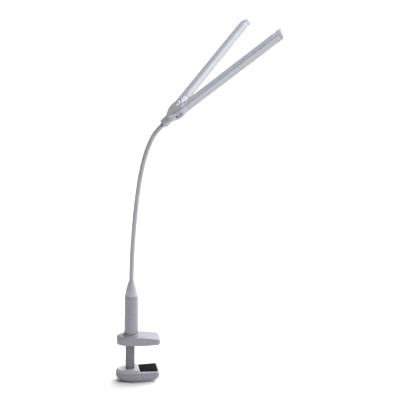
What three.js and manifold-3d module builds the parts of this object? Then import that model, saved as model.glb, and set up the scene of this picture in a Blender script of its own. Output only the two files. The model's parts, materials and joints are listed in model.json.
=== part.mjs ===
// Clamp-on desk lamp: two hinged light bars on a bending neck, over a mast and a table clamp.
// Millimetres, +Z up. Origin: centre of the clamping face of the upper jaw's pad.
// +X is the way the jaws point, and the two light bars mirror each other in Y.
import * as THREE from 'three';
import { mergeVertices } from 'three/addons/utils/BufferGeometryUtils.js';
import Module from 'manifold-3d';

const wasm = await Module();
wasm.setup();

// ---------------------------------------------------------------- driving dimensions

const GAP = 0.3; // between two pieces that touch or pass each other
const ROUND = 28; // sides of a large circle
const SMALL_ROUND = 12; // sides of a small circle

// Clamp
const UPPER_JAW_X = [-68.3, 23.3];
const LOWER_JAW_X = [-70.4, 22.4];
const UPPER_HALF_WIDTH = 20;
const LOWER_HALF_WIDTH = 21.4;
const JAW_WALL = 2.2;
const PAD_GAP = 58.4; // height of the open clamp, pad face to pad face
const BASE_THICKNESS = 2.4;
const UPPER_PAD = { fromX: -18, toX: 18, half: 14, top: 2.6 };
const LOWER_PAD = { fromX: -20, toX: 17.4, halfFrom: 17.2, halfTo: 19.5, thickness: 2.6 };
const DECK_TOP = -PAD_GAP - 0.5;
const DECK_BOTTOM = -62;
const PLATEAU_TOP = -56.4;
const PLATEAU_END_X = -23.5;

// Post that carries the lower jaw
const POST_X = -39.7;
const POST_LENGTH_X = 19.4;
const POST_DEPTH_Y = 10;
const POST_BOTTOM = -73;
const POST_SHOULDER = 15.2;
const POST_TOP = 23;
const TENON = { length: 14, depth: 7 };
const CROSS_PIN_Z = -14.5;
const FOOT_PIN_Z = -68;
const PIN_R = 1.5;

// Inside the upper jaw
const GUIDE_BOTTOM = 12.1;
const GUIDE_TOP = 14.6;
const GUIDE_END_X = -18.5;
const BOSS_R = 3.4;
const UPPER_SCREW_X = [-58, -22.5];
const LOWER_SCREW_X = [-57, 8];
const SCREW = { shaftR: 1.4, headR: 2.7, headHeight: 1.8 };

// Mast
const MAST_X = -37.4;
const MAST_R = 14.1; // at the top
const MAST_FOOT_R = 14.8;
const MAST_BORE_R = 12.3;
const MAST_NECK_R = 13.3; // the part that turns in the collar
const MAST_FOOT = 15;
const MAST_BOTTOM = 26.5;
const MAST_TOP = 108.5;
const COLLAR_TOP = 25.5;
const COLLAR_R = 16.7;
const RETAINER = { bottom: 15.7, top: 16.9, inner: 13.1, outer: 14.9, groove: 12.8 };
const SLIDER_R = 12;
const FRICTION_RING = { radius: 11.35, section: 0.8, z: 19.2 };
const CONE_TOP = 140.1;
const JACK_Z = 90;
const JACK = { half: 4.5, bodyFrom: 2.9, bodyTo: 10.8, mouth: 14.4, nozzleR: 3.9, boreR: 3.1 };
const JACK_BORE_DEPTH = 10;
const JACK_PIN_LENGTH = 5;

// Neck
const NECK_R = 4.7;
const NECK_START = 104;
const NECK_SEGMENTS = 8;
const NECK_FIRST_JOINT = 60; // along the neck, from its hidden lower end
const NECK_LAST_JOINT = 37; // along the neck, from its hidden upper end
const BALL_R = 4.3;
const CUP_R = 4.7;
const CUP_SETBACK = 2.6;

// Head: its local x runs along the neck's end, y across, and z out of the lit plane's back
const HEAD = { x: 52.8, z: 495.2 };
const HEAD_PITCH = THREE.MathUtils.degToRad(44.4);
const BAR_SPREAD = THREE.MathUtils.degToRad(26.2); // each bar, from the head's own x
const PIVOT_Y = 20.4;
const LOBE_R = 17;
const HUB_TOP = 9.2;
const HUB_BOTTOM = -8.4;
const SOCKET = { r: 9.3, from: -41.2, to: -20, bore: 5.2, floor: -25, lip: 7, lipDepth: 3.5, slant: 0.2 };
const SLOT_HALF = 3.3;
const SLOT_R = 14.5;
const SLOT_BACK = -12.5;
const TONGUE = { r: 13.8, half: 2, neckHalf: 10, hole: 3.3 };
const PIVOT_PIN = { r: 3, headR: 4.6, bottom: -8.3, shoulder: -6, top: 6.2 };
const WASHER = { inner: 3.3, outer: 9, from: 2.3, to: 3 };

// Light bars
const BAR = { half: 16, bottom: -5.5, side: 5.2, crown: 7.8, split: -1.9 };
const BAR_WALL = 1.6;
const ROOT = { from: 8, to: 27, clear: 17.5, rampEnd: 17 };
const BAR_BODY_END = 248;
const BAR_END = 257.5;
const END_BULGE_R = 75;
const LED_BOARD = { half: 13.6, from: 31, to: 244, bottom: -0.9, thickness: 1.2 };

// ---------------------------------------------------------------- materials

const plastic = () => new THREE.MeshStandardMaterial({ color: 0xdcdae2, roughness: 0.3 });
const sleeveGrey = () => new THREE.MeshStandardMaterial({ color: 0xb4b5b9, roughness: 0.45 });
const rubber = () => new THREE.MeshStandardMaterial({ color: 0x1d1b1b, roughness: 0.85 });
const steel = () => new THREE.MeshStandardMaterial({ color: 0xb8babf, roughness: 0.3, metalness: 1 });
const brass = () => new THREE.MeshStandardMaterial({ color: 0xc9a24c, roughness: 0.3, metalness: 1 });
const nylon = () => new THREE.MeshStandardMaterial({ color: 0xd9d6c8, roughness: 0.55 });
const board = () => new THREE.MeshStandardMaterial({ color: 0xe9e9e4, roughness: 0.6 });
const diffuser = () => new THREE.MeshStandardMaterial({ color: 0xf3f0e6, roughness: 0.5 });
const darkPlastic = () => new THREE.MeshStandardMaterial({ color: 0x2b2b2e, roughness: 0.5 });

// ---------------------------------------------------------------- solids

function toSolid(geometry) {
  const bare = geometry.clone();
  bare.deleteAttribute('normal');
  bare.deleteAttribute('uv');
  const merged = mergeVertices(bare, 1e-4);
  const mesh = new wasm.Mesh({
    numProp: 3,
    vertProperties: new Float32Array(merged.attributes.position.array),
    triVerts: new Uint32Array(merged.index.array),
  });
  return new wasm.Manifold(mesh);
}

function toGeometry(solid) {
  const mesh = solid.getMesh();
  const geometry = new THREE.BufferGeometry();
  geometry.setAttribute('position', new THREE.BufferAttribute(mesh.vertProperties, 3));
  geometry.setIndex(new THREE.BufferAttribute(mesh.triVerts, 1));
  geometry.computeVertexNormals();
  return geometry;
}

function named(name, solid, material) {
  const mesh = new THREE.Mesh(toGeometry(solid), material);
  mesh.name = name;
  return mesh;
}

function box(x0, x1, y0, y1, z0, z1) {
  const geometry = new THREE.BoxGeometry(x1 - x0, y1 - y0, z1 - z0);
  geometry.translate((x0 + x1) / 2, (y0 + y1) / 2, (z0 + z1) / 2);
  return toSolid(geometry);
}

// An upright cylinder from z0 to z1.
function rod(radius, z0, z1, x = 0, y = 0, sides = SMALL_ROUND) {
  const geometry = new THREE.CylinderGeometry(radius, radius, z1 - z0, sides);
  geometry.rotateX(Math.PI / 2);
  geometry.translate(x, y, (z0 + z1) / 2);
  return toSolid(geometry);
}

// A cylinder that lies along y, from y0 to y1.
function rodAlongY(radius, y0, y1, x, z, sides = SMALL_ROUND) {
  const geometry = new THREE.CylinderGeometry(radius, radius, y1 - y0, sides);
  geometry.translate(x, (y0 + y1) / 2, z);
  return toSolid(geometry);
}

// A cylinder that lies along x, from x0 to x1, centred on the x axis.
function rodAlongX(radius, x0, x1, sides = SMALL_ROUND) {
  const geometry = new THREE.CylinderGeometry(radius, radius, x1 - x0, sides);
  geometry.rotateZ(Math.PI / 2);
  geometry.translate((x0 + x1) / 2, 0, 0);
  return toSolid(geometry);
}

// A closed [radius, z] profile turned about an upright axis at x.
function turned(profile, x = 0, sides = ROUND) {
  const points = profile.map(([r, z]) => new THREE.Vector2(r, z));
  points.push(points[0].clone());
  const geometry = new THREE.LatheGeometry(points, sides);
  geometry.rotateX(Math.PI / 2);
  geometry.translate(x, 0, 0);
  const solid = toSolid(geometry);
  return solid.volume() > 0 ? solid : toSolid(flipped(geometry));
}

function flipped(geometry) {
  const copy = geometry.clone();
  const index = copy.index.array;
  for (let i = 0; i < index.length; i += 3) {
    [index[i], index[i + 1]] = [index[i + 1], index[i]];
  }
  return copy;
}

// A plan outline raised from z0 to z1.
function raised(shape, z0, z1, curveSegments = 6) {
  const geometry = new THREE.ExtrudeGeometry(shape, {
    depth: z1 - z0,
    bevelEnabled: false,
    curveSegments,
  });
  geometry.translate(0, 0, z0);
  return toSolid(geometry);
}

// An upright cross-section, drawn in y and z, drawn out along x from x0 to x1.
function drawnOut(shape, x0, x1) {
  const geometry = new THREE.ExtrudeGeometry(shape, {
    depth: x1 - x0,
    bevelEnabled: false,
    curveSegments: 8,
  });
  geometry.rotateX(Math.PI / 2);
  geometry.rotateZ(Math.PI / 2);
  geometry.translate(x0, 0, 0);
  return toSolid(geometry);
}

// A plan outline with two straight sides and two round ends, longer along x.
function stadium(centreX, length, depth) {
  const r = depth / 2;
  const reach = length / 2 - r;
  const shape = new THREE.Shape();
  shape.absarc(centreX + reach, 0, r, -Math.PI / 2, Math.PI / 2, false);
  shape.absarc(centreX - reach, 0, r, Math.PI / 2, (3 * Math.PI) / 2, false);
  return shape;
}

// ---------------------------------------------------------------- jaw bodies

// Half of a jaw's plan outline, from its round tip to its blunt end: [x, y] with y >= 0.
function jawOutline([tipX, endX], halfWidth) {
  const path = new THREE.Path();
  path.moveTo(tipX, 0);
  path.bezierCurveTo(tipX, 8, tipX + 7, 14.5, tipX + 22, 0.82 * halfWidth);
  path.bezierCurveTo(tipX + 38, 0.98 * halfWidth, endX - 40, halfWidth, endX - 9, halfWidth);
  path.quadraticCurveTo(endX - 1, halfWidth, endX - 0.6, halfWidth - 8.5);
  path.quadraticCurveTo(endX, 6, endX, 0);
  return path.getPoints(4);
}

// The same outline moved inwards by inset, measured square to its edge.
function insetOutline(outline, inset) {
  const last = outline.length - 1;
  return outline.map((point, k) => {
    const before = k > 0 ? outline[k - 1] : new THREE.Vector2(outline[1].x, -outline[1].y);
    const after = k < last ? outline[k + 1] : new THREE.Vector2(outline[last - 1].x, -outline[last - 1].y);
    const along = after.clone().sub(before).normalize();
    const moved = new THREE.Vector2(point.x + along.y * inset, point.y - along.x * inset);
    if (k === 0 || k === last) {
      moved.y = 0;
    }
    return moved;
  });
}

// A body with a jaw's plan outline. rings run from the underside to the top as [inset, level],
// where level 0 is underZ(x) and level 1 is topZ(x).
function jawBody(outline, rings, underZ, topZ) {
  const last = outline.length - 1;
  const perRing = 2 * last;
  const positions = [];
  const index = [];
  for (const [inset, level] of rings) {
    const half = insetOutline(outline, inset);
    const mirrored = half.slice(1, last).reverse().map((p) => new THREE.Vector2(p.x, -p.y));
    for (const p of [...half, ...mirrored]) {
      positions.push(p.x, p.y, THREE.MathUtils.lerp(underZ(p.x), topZ(p.x), level));
    }
  }
  const quad = (a, b, c, d) => index.push(a, b, c, a, c, d);
  for (let ring = 0; ring + 1 < rings.length; ring += 1) {
    for (let k = 0; k < perRing; k += 1) {
      const next = (k + 1) % perRing;
      const low = ring * perRing;
      quad(low + next, low + k, low + perRing + k, low + perRing + next);
    }
  }
  const opposite = (k) => (k === 0 || k === last ? k : perRing - k);
  const top = (rings.length - 1) * perRing;
  for (let k = 0; k < last; k += 1) {
    const strip = [k, k + 1, opposite(k + 1), opposite(k)];
    for (const [a, b, c] of [[0, 1, 2], [0, 2, 3]]) {
      if (new Set([strip[a], strip[b], strip[c]]).size === 3) {
        index.push(strip[a], strip[b], strip[c]);
        index.push(top + strip[c], top + strip[b], top + strip[a]);
      }
    }
  }
  const geometry = new THREE.BufferGeometry();
  geometry.setAttribute('position', new THREE.Float32BufferAttribute(positions, 3));
  geometry.setIndex(index);
  const solid = toSolid(geometry);
  return solid.volume() > 0 ? solid : toSolid(flipped(geometry));
}

// The jaws' upper and lower surfaces curve along x only.
const upperJawTop = (x) => 20.6 - 0.0016 * (x + 45) ** 2;
const upperJawUnder = (x) => 0.8 + 0.0005 * (x + 12) ** 2;
const lowerJawUnder = (x) => -83.2 + 0.003 * (x + 24) ** 2;

// A countersunk-style screw that points up from its head's lower face at z.
function screwUp(x, z, length) {
  const head = rod(SCREW.headR, z, z + SCREW.headHeight, x);
  const slot = box(x - 2, x + 2, -0.4, 0.4, z - 1, z + 0.8);
  return head.add(rod(SCREW.shaftR, z + SCREW.headHeight - 0.1, z + length, x)).subtract(slot);
}

function screwHole(x, z, length) {
  const head = rod(SCREW.headR + GAP, z - 10, z + SCREW.headHeight + GAP, x);
  return head.add(rod(SCREW.shaftR + GAP, z, z + length + GAP, x));
}

function upperJaw(group) {
  const outline = jawOutline(UPPER_JAW_X, UPPER_HALF_WIDTH);
  const outer = jawBody(outline, [[1, 0], [0, 0.1], [0, 0.48], [1.9, 0.76], [5.2, 0.97], [7.2, 1]],
    upperJawUnder, upperJawTop);
  const cavity = jawBody(outline, [[JAW_WALL, 0], [JAW_WALL, 0.75], [7, 1]],
    () => -10, (x) => upperJawTop(x) - 2.4);
  const collar = turned([[0, 15], [COLLAR_R + 3.4, 15], [COLLAR_R + 2.4, 20], [COLLAR_R + 0.9, 22.2],
    [COLLAR_R, 24.6], [COLLAR_R - 0.6, COLLAR_TOP], [0, COLLAR_TOP]], MAST_X);
  const bore = rod(MAST_NECK_R + GAP, -5, 40, MAST_X, 0, ROUND);
  const ringSpace = rod(RETAINER.outer + GAP, -5, RETAINER.top + GAP, MAST_X, 0, ROUND);
  const shell = outer.add(collar.intersect(box(-90, 40, -18, 18, 17, 40)))
    .subtract(cavity).subtract(bore).subtract(ringSpace);
  group.add(named('upper_jaw_housing', shell, plastic()));

  const postHole = stadium(POST_X, POST_LENGTH_X + 2 * GAP, POST_DEPTH_Y + 2 * GAP);
  const pocket = box(UPPER_PAD.fromX - GAP, UPPER_PAD.toX + GAP,
    -UPPER_PAD.half - GAP, UPPER_PAD.half + GAP, -5, UPPER_PAD.top + GAP);
  const screwFaces = UPPER_SCREW_X.map((x) => upperJawUnder(x) + 0.6);
  const insideWalls = insetOutline(outline, JAW_WALL + GAP);
  const padRoof = jawBody(insideWalls, [[0, 0], [0, 1]], () => 2.4, () => UPPER_PAD.top + 1.8)
    .intersect(box(UPPER_PAD.fromX - 2, UPPER_PAD.toX + 2, -UPPER_PAD.half - 2, UPPER_PAD.half + 2, 0, 20));
  let base = jawBody(insideWalls, [[0, 0], [0, 1]],
    upperJawUnder, (x) => upperJawUnder(x) + BASE_THICKNESS).add(padRoof);
  for (const x of UPPER_SCREW_X) {
    base = base.add(rod(BOSS_R, 3, GUIDE_BOTTOM - GAP, x));
  }
  base = base.subtract(raised(postHole, -5, 20)).subtract(pocket);
  UPPER_SCREW_X.forEach((x, i) => {
    base = base.subtract(screwHole(x, screwFaces[i], 20));
  });
  group.add(named('upper_jaw_base_plate', base, plastic()));

  let guide = jawBody(insetOutline(outline, 6.3), [[0, 0], [0, 1]], () => GUIDE_BOTTOM, () => GUIDE_TOP)
    .intersect(box(-90, GUIDE_END_X, -30, 30, 0, 20));
  guide = guide.subtract(raised(postHole, 5, 20));
  for (const x of UPPER_SCREW_X) {
    guide = guide.subtract(rod(SCREW.shaftR + GAP, 5, 20, x));
  }
  group.add(named('post_guide_plate', guide, steel()));

  UPPER_SCREW_X.forEach((x, i) => {
    const length = GUIDE_TOP - 0.4 - screwFaces[i];
    group.add(named(i ? 'upper_jaw_front_screw' : 'upper_jaw_rear_screw',
      screwUp(x, screwFaces[i], length), steel()));
  });

  const pad = raised(roundedPad(UPPER_PAD.fromX, UPPER_PAD.toX, UPPER_PAD.half, UPPER_PAD.half),
    0, UPPER_PAD.top);
  group.add(named('upper_jaw_pad', pad, rubber()));
}

// A pad's plan outline: straight sides that may widen towards +x, with rounded corners.
function roundedPad(x0, x1, half0, half1) {
  const r = 3.5;
  const shape = new THREE.Shape();
  shape.moveTo(x0 + r, -half0);
  shape.lineTo(x1 - r, -half1);
  shape.quadraticCurveTo(x1, -half1, x1, -half1 + r);
  shape.lineTo(x1, half1 - r);
  shape.quadraticCurveTo(x1, half1, x1 - r, half1);
  shape.lineTo(x0 + r, half0);
  shape.quadraticCurveTo(x0, half0, x0, half0 - r);
  shape.lineTo(x0, -half0 + r);
  shape.quadraticCurveTo(x0, -half0, x0 + r, -half0);
  return shape;
}

function lowerJaw(group) {
  const outline = jawOutline(LOWER_JAW_X, LOWER_HALF_WIDTH);
  const bowlTop = () => DECK_BOTTOM - GAP;
  const outer = jawBody(outline, [[8, 0], [3.8, 0.07], [1.2, 0.25], [0, 0.5], [0, 1]],
    lowerJawUnder, bowlTop);
  const cavity = jawBody(outline, [[8, 0], [JAW_WALL + 1.6, 0.2], [JAW_WALL, 0.6], [JAW_WALL, 1]],
    (x) => lowerJawUnder(x) + 2.6, () => DECK_BOTTOM + 5);
  const screwFaces = LOWER_SCREW_X.map((x) => lowerJawUnder(x) + 2.2);
  let bowl = outer.subtract(cavity);
  LOWER_SCREW_X.forEach((x, i) => {
    bowl = bowl.add(rod(BOSS_R + 0.6, lowerJawUnder(x) + 2, DECK_BOTTOM - GAP, x));
    bowl = bowl.subtract(screwHole(x, screwFaces[i], 30));
  });
  group.add(named('lower_jaw_bowl', bowl, plastic()));

  const plateauOutline = insetOutline(outline, 3.2);
  const plateau = jawBody(plateauOutline, [[0, 0], [0, 0.7], [1.6, 1]],
    () => DECK_BOTTOM + 1, () => PLATEAU_TOP).intersect(box(-90, PLATEAU_END_X, -30, 30, -70, -40));
  const postHole = raised(stadium(POST_X, POST_LENGTH_X + 2 * GAP, POST_DEPTH_Y + 2 * GAP), -80, 0);
  const padHole = raised(roundedPad(LOWER_PAD.fromX - GAP, LOWER_PAD.toX + GAP,
    LOWER_PAD.halfFrom + GAP, LOWER_PAD.halfTo + GAP), -PAD_GAP - LOWER_PAD.thickness - GAP, 0);
  let deck = jawBody(outline, [[0, 0], [0.1, 0.3], [1.1, 0.8], [2.2, 1]], () => DECK_BOTTOM, () => DECK_TOP);
  deck = deck.add(plateau).subtract(postHole).subtract(padHole);
  for (const x of LOWER_SCREW_X) {
    deck = deck.subtract(rod(SCREW.shaftR + GAP, DECK_BOTTOM - 1, DECK_BOTTOM + 0.7, x));
  }
  group.add(named('lower_jaw_deck', deck, plastic()));

  LOWER_SCREW_X.forEach((x, i) => {
    const length = DECK_BOTTOM + 0.4 - screwFaces[i];
    group.add(named(i ? 'lower_jaw_front_screw' : 'lower_jaw_rear_screw',
      screwUp(x, screwFaces[i], length), steel()));
  });

  const pad = raised(roundedPad(LOWER_PAD.fromX, LOWER_PAD.toX, LOWER_PAD.halfFrom, LOWER_PAD.halfTo),
    -PAD_GAP - LOWER_PAD.thickness, -PAD_GAP);
  group.add(named('lower_jaw_pad', pad, rubber()));
}

function clampPost(group) {
  const shaft = raised(stadium(POST_X, POST_LENGTH_X, POST_DEPTH_Y), POST_BOTTOM, POST_SHOULDER - GAP);
  const tenon = raised(stadium(POST_X, TENON.length, TENON.depth), POST_SHOULDER - 1, POST_TOP);
  const crossHole = rodAlongY(PIN_R + GAP, -20, 20, POST_X, CROSS_PIN_Z);
  const footHole = rodAlongY(PIN_R + GAP, -20, 20, POST_X, FOOT_PIN_Z);
  const post = shaft.add(tenon).subtract(crossHole).subtract(footHole);
  group.add(named('clamp_post', post, plastic()));
  group.add(named('post_cross_pin',
    rodAlongY(PIN_R, 0.1 - POST_DEPTH_Y / 2, POST_DEPTH_Y / 2 - 0.1, POST_X, CROSS_PIN_Z), steel()));
  group.add(named('post_foot_pin',
    rodAlongY(PIN_R, -POST_DEPTH_Y / 2 - 3, POST_DEPTH_Y / 2 + 3, POST_X, FOOT_PIN_Z), steel()));

  const { radius, section, z } = FRICTION_RING;
  const tenonHole = raised(stadium(POST_X, TENON.length + 2 * GAP, TENON.depth + 2 * GAP), 0, 40);
  const ringGroove = turned([[radius - section - GAP, z - section - GAP], [SLIDER_R + 2, z - section - GAP],
    [SLIDER_R + 2, z + section + GAP], [radius - section - GAP, z + section + GAP]], MAST_X);
  const slider = rod(SLIDER_R, POST_SHOULDER, POST_TOP + 0.2, MAST_X, 0, ROUND)
    .subtract(tenonHole).subtract(ringGroove);
  group.add(named('post_slider', slider, nylon()));
  const ring = new THREE.TorusGeometry(radius, section, 6, ROUND);
  ring.translate(MAST_X, 0, z);
  group.add(named('slider_friction_ring', toSolid(ring), rubber()));
}

// ---------------------------------------------------------------- mast

function mast(group) {
  const { bottom, top, inner, outer, groove } = RETAINER;
  const tubeProfile = [
    [MAST_BORE_R, MAST_FOOT], [MAST_NECK_R, MAST_FOOT], [MAST_NECK_R, bottom - 0.2],
    [groove, bottom - 0.2], [groove, top + 0.2], [MAST_NECK_R, top + 0.2],
    [MAST_NECK_R, MAST_BOTTOM], [MAST_FOOT_R - 0.6, MAST_BOTTOM], [MAST_FOOT_R, MAST_BOTTOM + 0.6],
    [MAST_FOOT_R, MAST_BOTTOM + 3], [MAST_FOOT_R - 0.4, MAST_BOTTOM + 3.2],
    [MAST_FOOT_R, MAST_BOTTOM + 3.5], [MAST_R, MAST_TOP], [MAST_BORE_R, MAST_TOP],
  ];
  const jackHole = rodAlongY(JACK.nozzleR + GAP, 5, 20, MAST_X, JACK_Z);
  group.add(named('mast_tube', turned(tubeProfile, MAST_X).subtract(jackHole), plastic()));
  const retainer = turned([[inner, bottom], [outer, bottom], [outer, top], [inner, top]], MAST_X);
  group.add(named('mast_retaining_ring', retainer, steel()));

  const cone = [
    [NECK_R + 0.4, CONE_TOP], [NECK_R + 0.8, CONE_TOP], [7, CONE_TOP - 2.6], [8.3, CONE_TOP - 8],
    [9.7, CONE_TOP - 13], [11, CONE_TOP - 17.5], [12.4, CONE_TOP - 24], [13.5, MAST_TOP + 0.9],
    [13.5, MAST_TOP + GAP], [MAST_BORE_R - GAP, MAST_TOP + GAP], [MAST_BORE_R - GAP, 101], [10.6, 101],
    [10.6, 110], [NECK_R + 0.4, 126],
  ];
  group.add(named('mast_cone_cap', turned(cone, MAST_X), plastic()));
  const plug = turned([[3, 97], [MAST_BORE_R - GAP, 97], [MAST_BORE_R - GAP, 100.7], [3, 100.7]], MAST_X);
  group.add(named('mast_plug', plug, nylon()));
  const nut = rod(8.4, NECK_START + GAP, NECK_START + 6.5, MAST_X, 0, 6)
    .subtract(rod(NECK_R + GAP, 90, 130, MAST_X));
  group.add(named('neck_base_nut', nut, steel()));

  const { half, bodyFrom, bodyTo, mouth, nozzleR, boreR } = JACK;
  const jack = box(MAST_X - half, MAST_X + half, bodyFrom, bodyTo, JACK_Z - half, JACK_Z + half)
    .add(rodAlongY(nozzleR, bodyTo - 0.5, mouth, MAST_X, JACK_Z))
    .subtract(rodAlongY(boreR, mouth - JACK_BORE_DEPTH, mouth + 1, MAST_X, JACK_Z));
  group.add(named('power_inlet_jack', jack, darkPlastic()));
  const pinFrom = mouth - JACK_BORE_DEPTH + GAP;
  group.add(named('power_inlet_pin', rodAlongY(1, pinFrom, pinFrom + JACK_PIN_LENGTH, MAST_X, JACK_Z), brass()));
  group.add(named('driver_board',
    box(MAST_X - 9, MAST_X + 9, 0.9, bodyFrom - GAP, JACK_Z - 13, JACK_Z + 6), board()));
}

// ---------------------------------------------------------------- neck

const headAlong = new THREE.Vector3(Math.cos(HEAD_PITCH), 0, Math.sin(HEAD_PITCH));
const headCentre = new THREE.Vector3(HEAD.x, 0, HEAD.z);
const onHeadAxis = (a) => headCentre.clone().addScaledVector(headAlong, a);

// The neck's centre line: straight up from the mast, then over into the head's socket.
const neckCurve = new THREE.CatmullRomCurve3([
  new THREE.Vector3(MAST_X, 0, NECK_START),
  new THREE.Vector3(MAST_X, 0, 148),
  new THREE.Vector3(-36.3, 0, 195),
  new THREE.Vector3(-32.2, 0, 262),
  new THREE.Vector3(-25.9, 0, 325),
  new THREE.Vector3(-18.2, 0, 375),
  new THREE.Vector3(-7.1, 0, 417),
  new THREE.Vector3(6.8, 0, 447),
  onHeadAxis(SOCKET.from + 2),
  onHeadAxis(SOCKET.floor - 1),
]);
neckCurve.arcLengthDivisions = 400;
const neckLength = neckCurve.getLength();

// Distances along the neck where it bends: evenly spaced between its first and last joints.
function neckJoints() {
  const first = NECK_FIRST_JOINT;
  const last = neckLength - NECK_LAST_JOINT;
  const count = NECK_SEGMENTS - 1;
  return Array.from({ length: count }, (_, i) => first + ((last - first) * i) / (count - 1));
}

// The stretch of the neck's centre line between two distances along it.
class NeckStretch extends THREE.Curve {
  constructor(from, to) {
    super();
    this.from = from;
    this.to = to;
  }

  getPoint(t) {
    return neckCurve.getPointAt((this.from + (this.to - this.from) * t) / neckLength);
  }
}

function ball(radius, centre) {
  const geometry = new THREE.SphereGeometry(radius, 14, 8);
  geometry.translate(centre.x, centre.y, centre.z);
  return toSolid(geometry);
}

// One link of the neck: a round bar with a cup at its lower end and a ball at its upper end.
function neckLink(from, to, hasCup, hasBall) {
  const start = hasCup ? from + CUP_SETBACK : from;
  const section = new THREE.Shape();
  section.absarc(0, 0, NECK_R, 0, 2 * Math.PI, false);
  const geometry = new THREE.ExtrudeGeometry(section, {
    steps: Math.max(3, Math.round((to - start) / 10)),
    curveSegments: 6,
    bevelEnabled: false,
    extrudePath: new NeckStretch(start, to),
  });
  let link = toSolid(geometry);
  if (hasBall) {
    link = link.add(ball(BALL_R, neckCurve.getPointAt(to / neckLength)));
  }
  if (hasCup) {
    link = link.subtract(ball(CUP_R, neckCurve.getPointAt(from / neckLength)));
  }
  return link;
}

function neck(group) {
  const cuts = [0, ...neckJoints(), neckLength];
  for (let i = 0; i < NECK_SEGMENTS; i += 1) {
    const link = neckLink(cuts[i], cuts[i + 1], i > 0, i < NECK_SEGMENTS - 1);
    group.add(named(`neck_link_${i + 1}`, link, sleeveGrey()));
  }
}

// ---------------------------------------------------------------- head

// The hub's plan: two round lobes about the pivots, drawn in to the neck's socket.
function hubOutline() {
  const back = new THREE.Vector2(SOCKET.to - 2, SOCKET.r);
  const reach = Math.hypot(back.x, PIVOT_Y - back.y);
  const towards = Math.atan2(PIVOT_Y - back.y, -back.x);
  const tangent = towards + Math.asin(LOBE_R / reach) + Math.PI / 2;
  const front = 1.15; // where the lobes meet the web between them
  const shape = new THREE.Shape();
  shape.moveTo(back.x, -back.y);
  shape.absarc(0, -PIVOT_Y, LOBE_R, -tangent, front, false);
  shape.absarc(0, PIVOT_Y, LOBE_R, -front, tangent, false);
  shape.lineTo(back.x, back.y);
  return shape;
}

function hub(group) {
  const edge = 2.4;
  const plan = new THREE.ExtrudeGeometry(hubOutline(), {
    depth: HUB_TOP - HUB_BOTTOM - 2 * edge,
    curveSegments: 11,
    bevelEnabled: true,
    bevelThickness: edge,
    bevelSize: edge,
    bevelOffset: -edge,
    bevelSegments: 2,
  });
  plan.translate(0, 0, HUB_BOTTOM + edge);
  let slot = box(SLOT_BACK, 40, -50, 50, -SLOT_HALF, SLOT_HALF);
  for (const side of [-1, 1]) {
    slot = slot.add(rod(SLOT_R, -SLOT_HALF, SLOT_HALF, 0, side * PIVOT_Y, ROUND));
  }
  const body = toSolid(plan).subtract(slot);
  const slantCut = box(-30, 0, -20, 20, -20, 20).rotate([0, THREE.MathUtils.radToDeg(SOCKET.slant), 0])
    .translate(SOCKET.from, 0, 0);
  const socket = rodAlongX(SOCKET.r, SOCKET.from - 5, SOCKET.to, ROUND).subtract(slantCut);
  const neckBore = rodAlongX(SOCKET.bore, SOCKET.from - 5, SOCKET.floor, ROUND)
    .add(rodAlongX(SOCKET.lip, SOCKET.from - 5, SOCKET.from + SOCKET.lipDepth, ROUND));
  const wireWay = rodAlongX(2.6, SOCKET.floor - 1, 0);
  const pinBores = [-1, 1].map((side) => rod(PIVOT_PIN.r + GAP, -12, PIVOT_PIN.top + GAP, 0, side * PIVOT_Y)
    .add(rod(PIVOT_PIN.headR + GAP, -12, PIVOT_PIN.shoulder + GAP, 0, side * PIVOT_Y)));
  const hubScrewY = 11;
  const hubScrewX = -17.5;
  const screwHead = HUB_BOTTOM + 0.4;

  let lower = body.intersect(box(-60, 40, -50, 50, -20, 0)).add(socket);
  lower = lower.subtract(neckBore).subtract(wireWay);
  let upper = body.intersect(box(-60, 40, -50, 50, GAP, 20)).subtract(wireWay);
  upper = upper.subtract(rodAlongX(SOCKET.r + GAP, SOCKET.from - 5, SOCKET.to + GAP, ROUND));
  for (const bore of pinBores) {
    lower = lower.subtract(bore);
    upper = upper.subtract(bore);
  }
  for (const side of [-1, 1]) {
    const hole = screwHole(hubScrewX, screwHead, 12);
    lower = lower.subtract(hole.translate(0, side * hubScrewY, 0));
    upper = upper.subtract(hole.translate(0, side * hubScrewY, 0));
  }
  group.add(named('hub_lower_shell', lower, plastic()));
  group.add(named('hub_upper_shell', upper, plastic()));

  for (const side of [-1, 1]) {
    const label = side > 0 ? 'left' : 'right';
    const screw = screwUp(hubScrewX, screwHead, 11.6).translate(0, side * hubScrewY, 0);
    group.add(named(`hub_${label}_screw`, screw, steel()));
    const { r, headR, bottom, shoulder, top } = PIVOT_PIN;
    const pin = rod(headR, bottom, shoulder, 0, side * PIVOT_Y)
      .add(rod(r, shoulder - 0.1, top, 0, side * PIVOT_Y));
    group.add(named(`${label}_pivot_pin`, pin, steel()));
    const washer = [[WASHER.inner, WASHER.from], [WASHER.outer, WASHER.from],
      [WASHER.outer, WASHER.to], [WASHER.inner, WASHER.to]];
    const upperWasher = turned(washer, 0, 18).translate(0, side * PIVOT_Y, 0);
    const lowerWasher = upperWasher.mirror([0, 0, 1]);
    group.add(named(`${label}_upper_washer`, upperWasher, steel()));
    group.add(named(`${label}_lower_washer`, lowerWasher, steel()));
  }
}

// ---------------------------------------------------------------- light bars

// The bar's arched section in y and z, from floorZ up; inset moves the arch inwards.
function barSection(floorZ, inset = 0) {
  const half = BAR.half - inset;
  const crown = BAR.crown - inset;
  const shape = new THREE.Shape();
  shape.moveTo(-half, floorZ);
  shape.lineTo(half, floorZ);
  shape.lineTo(half, BAR.side);
  shape.bezierCurveTo(half, BAR.side + 2.2, half - 4, crown, 0, crown);
  shape.bezierCurveTo(4 - half, crown, -half, BAR.side + 2.2, -half, BAR.side);
  return shape;
}

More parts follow.
